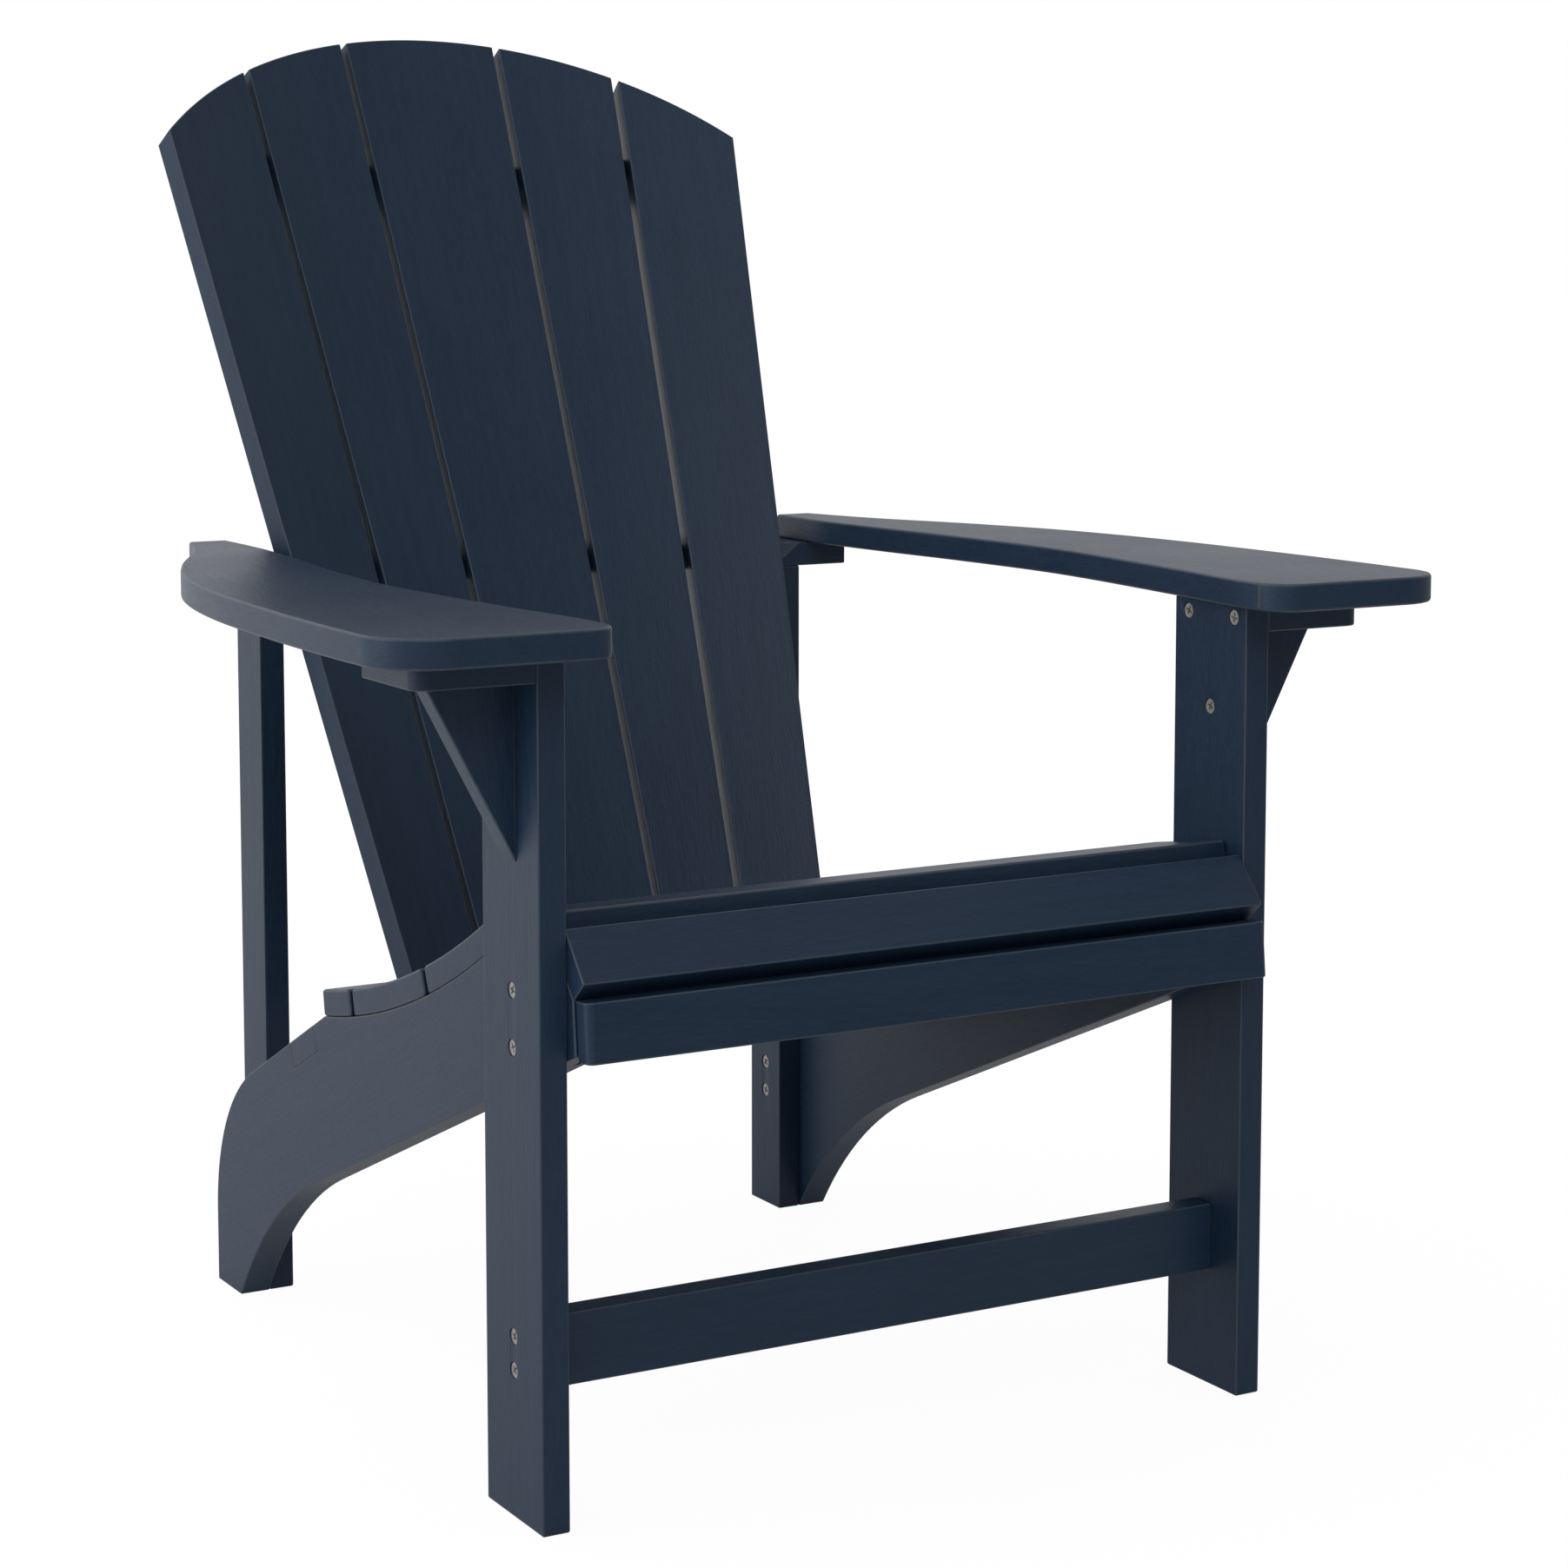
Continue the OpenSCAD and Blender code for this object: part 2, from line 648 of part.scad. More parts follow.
place() color(zinc) both() rail_post_sites() screw(end_screw);  // rail_to_post_screws
place() color(zinc) both() rail_stringer_sites() screw(rail_screw);  // rail_to_stringer_screws
place() color(zinc) all_slat_sites() screw(rail_screw);  // back_slat_screws
place() color(navy) both() dowel_sites() dowel();  // seat_dowels
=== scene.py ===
"""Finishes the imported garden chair: rounded plastic lumber boards, screws and a studio stage."""

import math

import bmesh
import bpy
import numpy as np
from bpy.props import FloatProperty, FloatVectorProperty, IntProperty, PointerProperty
from mathutils import Matrix, Vector


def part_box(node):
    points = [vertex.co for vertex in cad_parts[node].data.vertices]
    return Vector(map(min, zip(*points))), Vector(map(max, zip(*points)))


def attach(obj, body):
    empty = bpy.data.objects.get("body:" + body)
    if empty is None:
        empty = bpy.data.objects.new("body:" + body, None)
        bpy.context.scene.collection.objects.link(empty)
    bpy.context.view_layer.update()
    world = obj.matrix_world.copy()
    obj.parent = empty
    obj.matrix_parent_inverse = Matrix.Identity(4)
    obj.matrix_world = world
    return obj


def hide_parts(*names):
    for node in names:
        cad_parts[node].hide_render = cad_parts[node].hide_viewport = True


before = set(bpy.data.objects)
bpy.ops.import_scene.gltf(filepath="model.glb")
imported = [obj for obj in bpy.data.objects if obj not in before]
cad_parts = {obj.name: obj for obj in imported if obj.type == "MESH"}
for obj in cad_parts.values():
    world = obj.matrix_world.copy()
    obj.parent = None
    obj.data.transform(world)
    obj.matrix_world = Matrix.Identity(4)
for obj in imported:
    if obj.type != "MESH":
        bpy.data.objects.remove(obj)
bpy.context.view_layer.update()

bl_info = {
    "name": "Garden Chair Finish",
    "version": (1, 0, 0),
    "blender": (4, 5, 0),
    "location": "3D View > Sidebar > Chair",
    "description": "Rounds the chair's boards, drives its screws and sets the studio",
    "category": "Object",
}

LEGS = ("left_front_leg", "right_front_leg")
STRINGERS = ("left_stringer", "right_stringer")
REAR_POSTS = ("left_rear_post", "right_rear_post")
STRETCHER = ("front_stretcher",)
SEAT_BOARDS = ("front_seat_board", "middle_seat_board", "wide_seat_board", "rear_seat_board")
NOSE_BOARDS = ("nose_board",)
APRON = ("apron",)
BACK_RAILS = ("lower_back_rail", "arm_back_rail", "upper_back_rail")
ARMS = ("left_arm", "right_arm")
BRACKETS = ("left_cleat", "right_cleat", "left_gusset", "right_gusset")
SCREW_GROUPS = tuple(sorted(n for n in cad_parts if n.endswith("_screws")))

MERGE = 2e-6  # vertices nearer than this are one
FLAT = math.radians(0.05)  # faces that meet at less are one flat face
CREASE = 0.4  # a board's edges turn by more than this
BOX_EDGE = 0.9  # the edges of a formed slat turn by more than this
SMOOTH = math.radians(32)  # boards shade round up to this
SHIFT = (0.0011, -0.12)  # of the lens
SENSOR = 36.0  # millimetres
TIP = 0.004  # length of a screw's point
FACETS = 36  # round a screw's head


# ---------------------------------------------------------------- properties


def length(name, description, default, low, high):
    """A length property in metres."""
    return FloatProperty(
        name=name,
        description=description,
        default=default,
        min=low,
        max=high,
        unit="LENGTH",
        subtype="DISTANCE",
    )


class BoardSizes(bpy.types.PropertyGroup):
    """Edge roundings of the plastic lumber boards."""

    frame_edge: length(
        "Frame Edge",
        "Radius of the edges of the legs, stringers, posts, stretcher and rails",
        0.0014,
        0.0002,
        0.003,
    )
    seat_edge: length("Seat Edge", "Radius of the edges of the seat boards", 0.0024, 0.0002, 0.004)
    slat_edge: length("Slat Edge", "Radius of the edges of the back slats", 0.0012, 0.0002, 0.003)
    arm_edge: length("Arm Edge", "Radius of the edges of the arms", 0.0022, 0.0002, 0.005)
    apron_corner: length(
        "Apron Corner", "Radius of the apron's upright front corners", 0.006, 0.001, 0.009
    )
    edge_segments: IntProperty(
        name="Edge Segments",
        description="Faces across each rounded edge",
        default=3,
        min=1,
        max=6,
    )


class BackFan(bpy.types.PropertyGroup):
    """The hollow fan of back slats. The spreads say how far each edge runs out for its height."""

    thickness: length("Thickness", "Thickness of the slats", 0.021, 0.015, 0.026)
    hollow_radius: length("Hollow Radius", "Radius of the hollow front", 0.76, 0.6, 1.0)
    hollow_depth: length("Hollow Depth", "Depth of the hollow at the middle", 0.0024, 0.0, 0.01)
    crown_radius: length("Crown Radius", "Radius of the rounded top", 0.367, 0.34, 0.42)
    height: length("Height", "Length of the back at its middle", 0.896, 0.8, 0.95)
    gap: length("Gap", "Gap between slats", 0.006, 0.003, 0.01)
    centre_half: length("Centre Half", "Half width of the centre slat's foot", 0.045, 0.038, 0.052)
    inner_foot: length("Inner Foot", "Width of the inner side slats' feet", 0.064, 0.054, 0.068)
    outer_foot: length("Outer Foot", "Width of the outer side slats' feet", 0.065, 0.054, 0.072)
    foot_back: length("Foot Back", "Place of the back's foot behind the middle", 0.055265, 0, 0.1)
    foot_up: length("Foot Up", "Height of the foot of the back", 0.255, 0.245, 0.265)
    recline: FloatProperty(
        name="Recline",
        description="Angle of the back from upright",
        default=math.radians(26.3),
        unit="ROTATION",
        subtype="ANGLE",
    )
    spreads: FloatVectorProperty(
        name="Spreads",
        description="Spread of the centre, the inner and the outer slats' outer edges",
        default=(0.0305, 0.0746, 0.116),
        size=3,
    )
    edge_turn: FloatProperty(
        name="Edge Turn",
        description="Share of the hollow's slope that the slats' edges follow",
        default=0.8,
        min=0,
        max=1,
        subtype="FACTOR",
    )
    columns: IntProperty(
        name="Columns",
        description="Points across each slat",
        default=17,
        min=5,
        max=60,
    )
    rows: IntProperty(
        name="Rows",
        description="Points along each slat",
        default=13,
        min=3,
        max=120,
    )


class ScrewSizes(bpy.types.PropertyGroup):
    """The flat-headed screws."""

    head_diameter: length("Head Diameter", "Diameter of the screw heads", 0.012, 0.008, 0.014)
    shank_diameter: length("Shank Diameter", "Diameter of the screw shanks", 0.005, 0.003, 0.005)
    recess_depth: length("Recess Depth", "Depth of the cross recess", 0.0028, 0.0005, 0.003)


class Finish(bpy.types.PropertyGroup):
    """Colours and texture of the boards and the screws."""

    board_colour: FloatVectorProperty(
        name="Board Colour",
        description="Colour of the plastic lumber",
        default=(0.0066, 0.0192, 0.0430),
        size=3,
        min=0,
        max=1,
        subtype="COLOR",
    )
    fleck_colour: FloatVectorProperty(
        name="Fleck Colour",
        description="Colour of the paler streaks in the plastic lumber",
        default=(0.0140, 0.0310, 0.0610),
        size=3,
        min=0,
        max=1,
        subtype="COLOR",
    )
    # Painted highlight: this lighter colour is painted onto the rounded board edges in place of the
    # shine along them
    painted_highlight_colour: FloatVectorProperty(
        name="Edge Colour",
        description="Colour that the boards' edges are rubbed to",
        default=(0.058, 0.070, 0.086),
        size=3,
        min=0,
        max=1,
        subtype="COLOR",
    )
    grain_depth: length(
        "Grain Depth", "Depth of the grain embossed along each board", 0.0003, 0, 0.001
    )
    roughness: FloatProperty(
        name="Roughness",
        description="Mean roughness of the boards",
        default=0.42,
        min=0.1,
        max=1,
        subtype="FACTOR",
    )
    gloss: FloatProperty(
        name="Gloss",
        description="Strength of the boards' reflections",
        default=0.25,
        min=0,
        max=1,
        subtype="FACTOR",
    )
    steel_colour: FloatVectorProperty(
        name="Screw Colour",
        description="Colour of the plated screws",
        default=(0.46, 0.45, 0.42),
        size=3,
        min=0,
        max=1,
        subtype="COLOR",
    )


class Studio(bpy.types.PropertyGroup):
    """The floor, the lights and the camera."""

    key_power: FloatProperty(
        name="Key Power",
        description="Power of the big softbox at the front",
        default=70.0,
        min=0,
        max=5000,
        unit="POWER",
    )
    side_power: FloatProperty(
        name="Side Power",
        description="Power of the softbox on the left",
        default=65.0,
        min=0,
        max=5000,
        unit="POWER",
    )
    room_dim: FloatProperty(
        name="Room, Dim Side",
        description="Brightness of the room behind the camera",
        default=0.05,
        min=0,
        max=4,
    )
    room_bright: FloatProperty(
        name="Room, Bright Side",
        description="Brightness of the room behind the chair",
        default=1.15,
        min=0,
        max=4,
    )
    floor_glow: FloatProperty(
        name="Floor Glow",
        description="Brightness of the floor behind the chair and on its left, in reflections",
        default=0.6,
        min=0,
        max=4,
    )
    lens: FloatProperty(
        name="Lens",
        description="Focal length of the camera in millimetres",
        default=80.67,
        min=20,
        max=300,
        unit="CAMERA",
    )
    camera_place: FloatVectorProperty(
        name="Camera Place",
        description="Where the camera stands",
        default=(-1.3120, -2.5050, 0.8906),
        size=3,
        unit="LENGTH",
        subtype="TRANSLATION",
    )
    camera_turn: FloatProperty(
        name="Camera Turn",
        description="Direction of the camera, turned right from straight ahead",
        default=math.radians(29.78),
        unit="ROTATION",
        subtype="ANGLE",
    )
    camera_dip: FloatProperty(
        name="Camera Dip",
        description="Angle of the camera below the horizon",
        default=math.radians(6.03),
        unit="ROTATION",
        subtype="ANGLE",
    )


class ChairSettings(bpy.types.PropertyGroup):
    """Everything about the chair's finish that a user would change."""

    boards: PointerProperty(type=BoardSizes)
    back: PointerProperty(type=BackFan)
    screws: PointerProperty(type=ScrewSizes)
    finish: PointerProperty(type=Finish)
    studio: PointerProperty(type=Studio)


# ---------------------------------------------------------------- node maths


class Signal:
    """A value that runs through a node tree. Arithmetic on it adds the Math nodes."""

    def __init__(self, tree, socket):
        self.tree = tree
        self.socket = socket

    def maths(self, operation, *terms):
        node = self.tree.node("ShaderNodeMath", {"operation": operation}, dict(enumerate(terms)))
        return Signal(self.tree, node.outputs[0])

    def __add__(self, other):
        return self.maths("ADD", self, other)

    def __sub__(self, other):
        return self.maths("SUBTRACT", self, other)

    def __rsub__(self, other):
        return self.maths("SUBTRACT", other, self)

    def __mul__(self, other):
        return self.maths("MULTIPLY", self, other)

    def __truediv__(self, other):
        return self.maths("DIVIDE", self, other)

    def __pow__(self, other):
        return self.maths("POWER", self, other)

    __radd__ = __add__
    __rmul__ = __mul__

    def sqrt(self):
        return self.maths("SQRT", self)

    def sin(self):
        return self.maths("SINE", self)

    def cos(self):
        return self.maths("COSINE", self)

    def arcsin(self):
        return self.maths("ARCSINE", self)

    def clamp(self):
        return self.maths("MAXIMUM", self.maths("MINIMUM", self, 1.0), 0.0)


class Recipe:
    """A node tree, and the one way in which nodes are added to it."""

    def __init__(self, tree):
        self.tree = tree
        self.tree.nodes.clear()

    def node(self, kind, settings=None, sockets=None):
        """Adds a node. Its settings come first, then each socket gets a value or a link."""
        made = self.tree.nodes.new(kind)
        for name, value in (settings or {}).items():
            setattr(made, name, value)
        for key, value in (sockets or {}).items():
            if isinstance(key, int):
                socket = made.inputs[key]
            else:
                socket = next(s for s in made.inputs if key in (s.identifier, s.name))
            if isinstance(value, Signal):
                self.tree.links.new(value.socket, socket)
            else:
                socket.default_value = value
        return made

    def signal(self, kind, settings=None, sockets=None, output=0):
        made = self.node(kind, settings, sockets)
        return Signal(self, made.outputs[output])

    def blend(self, factor, first, second):
        settings = {"data_type": "RGBA", "clamp_factor": True}
        sockets = {"Factor_Float": factor, "A_Color": first, "B_Color": second}
        made = self.node("ShaderNodeMix", settings, sockets)
        return Signal(self, next(s for s in made.outputs if s.identifier == "Result_Color"))

    def noise(self, place, scale, detail=2.0, roughness=0.5, distortion=0.0):
        sockets = {
            "Vector": place,
            "Scale": scale,
            "Detail": detail,
            "Roughness": roughness,
            "Distortion": distortion,
        }
        return self.signal("ShaderNodeTexNoise", {}, sockets)

    def stretched(self, place, scale):
        sockets = {"Vector": place, "Scale": scale}
        return self.signal("ShaderNodeMapping", {"vector_type": "POINT"}, sockets)

    def surface(self, shader):
        self.node("ShaderNodeOutputMaterial", {}, {"Surface": shader})

    def point(self, x, y, z):
        return self.signal("ShaderNodeCombineXYZ", {}, {"X": x, "Y": y, "Z": z})

    def parts(self, vector):
        split = self.node("ShaderNodeSeparateXYZ", {}, {"Vector": vector})
        return [Signal(self, socket) for socket in split.outputs]

    def scaled(self, vector, factor):
        sockets = {0: vector, "Scale": factor}
        return self.signal("ShaderNodeVectorMath", {"operation": "SCALE"}, sockets)


def shader_recipe(owner):
    """The emptied recipe of a material or a world."""
    owner.use_nodes = True
    return Recipe(owner.node_tree)


class Former(Recipe):
    """A Geometry Nodes tree with named inputs, which ends in one realised and painted mesh."""

    def __init__(self, name, inputs):
        super().__init__(bpy.data.node_groups.new(name, "GeometryNodeTree"))
        face = self.tree.interface
        self.sockets = {}
        for label, kind in {"Base": "Geometry", **inputs, "Material": "Material"}.items():
            made = face.new_socket(label, in_out="INPUT", socket_type="NodeSocket" + kind)
            self.sockets[label] = made.identifier
        face.new_socket("Made", in_out="OUTPUT", socket_type="NodeSocketGeometry")
        given = self.node("NodeGroupInput").outputs
        self.given = {socket.name: Signal(self, socket) for socket in given if socket.name}

    def attribute(self, name, kind):
        settings = {"data_type": kind}
        return self.signal("GeometryNodeInputNamedAttribute", settings, {"Name": name})

    def end(self, geometry):
        real = self.signal("GeometryNodeRealizeInstances", {}, {"Geometry": geometry})
        sockets = {"Geometry": real, "Material": self.given["Material"]}
        painted = self.signal("GeometryNodeSetMaterial", {}, sockets)
        self.node("NodeGroupOutput", {}, {"Made": painted})

    def make(self, base, name, values):
        """Runs the tree on a mesh with these values, and gives the plain mesh that it makes."""
        host = bpy.data.objects.new(name, base)
        bpy.context.scene.collection.objects.link(host)
        run = host.modifiers.new("form", "NODES")
        run.node_group = self.tree
        for label, value in values.items():
            run[self.sockets[label]] = value
        bpy.context.view_layer.update()
        evaluated = host.evaluated_get(bpy.context.evaluated_depsgraph_get())
        mesh = bpy.data.meshes.new_from_object(evaluated)
        host.modifiers.clear()
        bpy.data.objects.remove(host)
        bpy.data.meshes.remove(base)
        mesh.name = name
        return mesh


def opaque(colour):
    return (*colour, 1.0)


def plastic_lumber(finish):
    """Moulded board: fine grain embossed along it, faint streaks and a painted highlight on the
    rounded edges.
    """
    material = bpy.data.materials.new("plastic_lumber")
    recipe = shader_recipe(material)
    place = recipe.signal("ShaderNodeAttribute", {"attribute_name": "board_place"}, output=1)
    # Mask of the rounded edges, which take the painted highlight
    edge = recipe.signal("ShaderNodeAttribute", {"attribute_name": "edge_rub"}, output=2)

    grain_place = recipe.stretched(place, (0.13, 1.0, 1.0))
    ridges = recipe.noise(grain_place, 520.0, detail=3.0, roughness=0.55, distortion=0.6)
    pores = recipe.noise(recipe.stretched(place, (0.4, 1.0, 1.0)), 950.0, detail=1.0)
    waves = recipe.noise(recipe.stretched(place, (0.06, 1.0, 1.0)), 90.0, detail=2.0)
    cloud = recipe.noise(place, 6.0, detail=2.0)

    streak = ((ridges - 0.5) * 1.1 + (waves - 0.5) * 0.6 + (cloud - 0.5) * 0.5 + 0.4).clamp()
    colour = recipe.blend(streak, opaque(finish.board_colour), opaque(finish.fleck_colour))
    # Painted highlight: the rounded edges are lightened towards the highlight colour, more in some
    # places than others
    edge_highlight_share = (edge * (0.35 + waves * 0.5)).clamp()
    colour = recipe.blend(edge_highlight_share, colour, opaque(finish.painted_highlight_colour))
    roughness = finish.roughness + (ridges - 0.5) * 0.16 + (cloud - 0.5) * 0.1
    height = ridges * 0.7 + pores * 0.3 + waves * 0.6
    sockets = {"Height": height, "Distance": finish.grain_depth, "Strength": 1.0}
    normal = recipe.signal("ShaderNodeBump", {}, sockets)
    sockets = {
        "Base Color": colour,
        "Roughness": roughness,
        "Normal": normal,
        "Specular IOR Level": finish.gloss,
    }
    recipe.surface(recipe.signal("ShaderNodeBsdfPrincipled", {}, sockets))
    return material


def plastic_dowel(finish):
    """Turned plastic rod with fine marks, for the hidden dowels."""
    material = bpy.data.materials.new("plastic_dowel")
    recipe = shader_recipe(material)
    place = recipe.signal("ShaderNodeTexCoord", output=3)
    marks = recipe.noise(place, 700.0, detail=2.0)
    colour = recipe.blend(marks, opaque(finish.board_colour), opaque(finish.fleck_colour))
    normal = recipe.signal("ShaderNodeBump", {}, {"Height": marks, "Distance": 0.00005})
    sockets = {"Base Color": colour, "Roughness": 0.4 + marks * 0.2, "Normal": normal}
    recipe.surface(recipe.signal("ShaderNodeBsdfPrincipled", {}, sockets))
    return material


def plated_steel(finish):
    """Dull plated screw steel with small stains."""
    material = bpy.data.materials.new("plated_steel")
    recipe = shader_recipe(material)
    place = recipe.signal("ShaderNodeTexCoord", output=3)
    stain = recipe.noise(place, 900.0, detail=3.0)
    patch = recipe.noise(place, 160.0, detail=1.0)
    dull = tuple(0.55 * c for c in finish.steel_colour)
    shade = (stain * 0.6 + patch * 0.6 - 0.1).clamp()
    colour = recipe.blend(shade, opaque(dull), opaque(finish.steel_colour))
    sockets = {"Height": stain, "Distance": 0.00004, "Strength": 1.0}
    sockets = {
        "Base Color": colour,
        "Metallic": 0.85,
        "Roughness": 0.38 + stain * 0.2,
        "Normal": recipe.signal("ShaderNodeBump", {}, sockets),
    }
    recipe.surface(recipe.signal("ShaderNodeBsdfPrincipled", {}, sockets))
    return material


def shared_material(name, make):
    """The material of that name, made once."""
    return bpy.data.materials.get(name) or make(bpy.context.scene.chair.finish)


# ---------------------------------------------------------------- boards


def clean_copy(node):
    """A copy of a CAD node's mesh with its loose triangles joined and its flat faces made whole."""
    solid = bmesh.new()
    solid.from_mesh(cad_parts[node].data)
    bmesh.ops.remove_doubles(solid, verts=solid.verts, dist=MERGE)
    bmesh.ops.dissolve_limit(solid, angle_limit=FLAT, verts=solid.verts, edges=solid.edges)
    return solid


def board_axes(solid):
    """A board's middle, and its directions along the grain, across it and through it."""
    centres = np.array([f.calc_center_median() for f in solid.faces])
    areas = np.array([f.calc_area() for f in solid.faces])
    middle = (centres * areas[:, None]).sum(0) / areas.sum()
    spread = (centres - middle).T @ ((centres - middle) * areas[:, None])
    axes = np.linalg.eigh(spread)[1][:, ::-1]
    axes = axes * np.sign(axes[np.abs(axes).argmax(0), range(3)])
    return middle, axes


def loose_parts(solid):
    """The vertices of each separate solid in a mesh, always in the same order."""
    seen, parts = set(), []
    for first in solid.verts:
        if first in seen:
            continue
        seen.add(first)
        part = [first]
        for vert in part:
            for link in vert.link_edges:
                other = link.other_vert(vert)
                if other not in seen:
                    seen.add(other)
                    part.append(other)
        parts.append(part)
    return parts


def screw_heads():
    """Every screw's head centre, the direction it is driven in and its length, by group."""
    found = {}
    for node in SCREW_GROUPS:
        solid = clean_copy(node)
        found[node] = []
        for part in loose_parts(solid):
            places = np.array([v.co for v in part])
            centre = places.mean(0)
            axis = np.linalg.eigh(np.cov(places.T))[1][:, 2]
            run = (places - centre) @ axis
            off = np.linalg.norm(places - centre - run[:, None] * axis, axis=1)
            if run[off.argmax()] > 0:
                axis, run = -axis, -run
            middle = (places[off > 0.9 * off.max()].mean(0) - centre) @ axis
            ring = places[off > 0.97 * off.max()].mean(0)
            head = Vector(ring) + Vector(axis) * (run.min() - middle)
            found[node].append((head, Vector(axis), float(run.max() - run.min())))
        solid.free()
    return found


SCREWS = screw_heads()
HEADS = [screw for group in SCREWS.values() for screw in group]


def near_a_screw(place, reach=0.0075):
    """True close to a screw's axis, where a hole's own edges are."""
    for head, axis, length in HEADS:
        step = place - head
        run = step.dot(axis)
        if -0.05 < run < length + 0.01 and (step - axis * run).length < reach:
            return True
    return False


def sharp_edges(solid):
    """The edges between a board's faces, without those of its screw holes."""
    sharp = [e for e in solid.edges if len(e.link_faces) == 2 and e.calc_face_angle(0) > CREASE]
    return [e for e in sharp if not all(near_a_screw(v.co) for v in e.verts)]


def meets_apron(solid, edge):
    """True for the nose board's lowest edge, which rests against the apron."""
    low = min(v.co.z for v in solid.verts)
    return max(v.co.z for v in edge.verts) < low + 0.0005


def meets_nose(solid, edge):
    """True for the apron's rearmost edge, which rests against the nose board."""
    back = max(v.co.y for v in solid.verts)
    return min(v.co.y for v in edge.verts) > back - 0.0005


def is_upright_front_corner(edge):
    step = edge.verts[1].co - edge.verts[0].co
    low = min(abs(v.co.x) for v in edge.verts)
    return abs(step.normalized().z) > 0.9 and low > 0.28


def round_edges(solid, edges, radius, segments):
    done = bmesh.ops.bevel(
        solid,
        geom=edges,
        offset=radius,
        offset_type="OFFSET",
        segments=segments,
        profile=0.5,
        affect="EDGES",
        clamp_overlap=False,
        loop_slide=True,
    )
    return done["faces"]


def flatten_normals(piece):
    """Keeps the wide faces flat to the light, so that only the rounded edges shade round."""
    piece.data.set_sharp_from_angle(angle=SMOOTH)
    weighted = piece.modifiers.new("flat_faces", "WEIGHTED_NORMAL")
    weighted.weight = 100
    weighted.keep_sharp = True
    bpy.context.view_layer.update()
    evaluated = piece.evaluated_get(bpy.context.evaluated_depsgraph_get())
    mesh = bpy.data.meshes.new_from_object(evaluated)
    piece.modifiers.clear()
    rough = piece.data
    piece.data = mesh
    bpy.data.meshes.remove(rough)
    mesh.name = piece.name


def finish_board(node, solid, rounded, seed):
    """Turns a rounded board into its finished piece, in place of its CAD node."""
    middle, axes = board_axes(solid)
    rounded = {f for f in rounded if f.is_valid}
    # Vertices wholly on the rounded edges, where the painted highlight goes
    inside = [v.is_valid and all(f in rounded for f in v.link_faces) for v in solid.verts]
    bmesh.ops.triangulate(solid, faces=[f for f in solid.faces if len(f.verts) > 4])
    mesh = bpy.data.meshes.new(node + "_finished")
    for face in solid.faces:
        face.smooth = True
    solid.to_mesh(mesh)
    solid.free()
    place = np.empty(len(mesh.vertices) * 3)
    mesh.vertices.foreach_get("co", place)
    place = (place.reshape(-1, 3) - middle) @ axes + (0.31 * seed, 0.17 * seed, 0.0)
    board_place = mesh.attributes.new("board_place", "FLOAT_VECTOR", "POINT")
    board_place.data.foreach_set("vector", place.ravel())
    edge_rub = mesh.attributes.new("edge_rub", "FLOAT", "POINT")
    edge_rub.data.foreach_set("value", np.array(inside, float))
    mesh.materials.append(shared_material("plastic_lumber", plastic_lumber))
    piece = bpy.data.objects.new(node + "_finished", mesh)
    bpy.context.scene.collection.objects.link(piece)
    flatten_normals(piece)
    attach(piece, "root")
    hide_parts(node)
    return piece


def make_boards(nodes, radius, corner=None, square=None):
    """Rounds and finishes each board of a group. Edges that square() picks stay as they are."""
    segments = bpy.context.scene.chair.boards.edge_segments
    order = sorted(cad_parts)
    for node in nodes:
        solid = clean_copy(node)
        rounded = []
        if corner:
            corners = [e for e in sharp_edges(solid) if is_upright_front_corner(e)]
            rounded += round_edges(solid, corners, corner, 2 * segments)
        rounded = [f for f in rounded if f.is_valid]
        edges = [e for e in sharp_edges(solid) if not (square and square(solid, e))]
        rounded += round_edges(solid, edges, radius, segments)
        finish_board(node, solid, rounded, order.index(node))
    return {"FINISHED"}


class ChairOperator:
    """What the chair's operators share: each can be undone and run again."""

    bl_options = {"REGISTER", "UNDO"}


class CHAIR_OT_legs(ChairOperator, bpy.types.Operator):
    """Make the two front legs"""

    bl_idname = "chair.legs"
    bl_label = "Front Legs"

    def execute(self, context):
        return make_boards(LEGS, context.scene.chair.boards.frame_edge)


class CHAIR_OT_stringers(ChairOperator, bpy.types.Operator):
    """Make the two curved seat stringers"""

    bl_idname = "chair.stringers"
    bl_label = "Stringers"

    def execute(self, context):
        return make_boards(STRINGERS, context.scene.chair.boards.frame_edge)


class CHAIR_OT_rear_posts(ChairOperator, bpy.types.Operator):
    """Make the two rear posts"""

    bl_idname = "chair.rear_posts"
    bl_label = "Rear Posts"

    def execute(self, context):
        return make_boards(REAR_POSTS, context.scene.chair.boards.frame_edge)


class CHAIR_OT_stretcher(ChairOperator, bpy.types.Operator):
    """Make the front stretcher"""

    bl_idname = "chair.stretcher"
    bl_label = "Front Stretcher"

    def execute(self, context):
        return make_boards(STRETCHER, context.scene.chair.boards.frame_edge)


class CHAIR_OT_seat_boards(ChairOperator, bpy.types.Operator):
    """Make the flat and the scooped seat boards"""

    bl_idname = "chair.seat_boards"
    bl_label = "Seat Boards"

    def execute(self, context):
        return make_boards(SEAT_BOARDS, context.scene.chair.boards.seat_edge)


class CHAIR_OT_nose_board(ChairOperator, bpy.types.Operator):
    """Make the sloping board at the front of the seat"""

    bl_idname = "chair.nose_board"
    bl_label = "Nose Board"

    def execute(self, context):
        edge = context.scene.chair.boards.frame_edge
        return make_boards(NOSE_BOARDS, edge, square=meets_apron)


class CHAIR_OT_apron(ChairOperator, bpy.types.Operator):
    """Make the apron, with its rounded upright corners"""

    bl_idname = "chair.apron"
    bl_label = "Apron"

    def execute(self, context):
        boards = context.scene.chair.boards
        return make_boards(APRON, boards.frame_edge, boards.apron_corner, meets_nose)


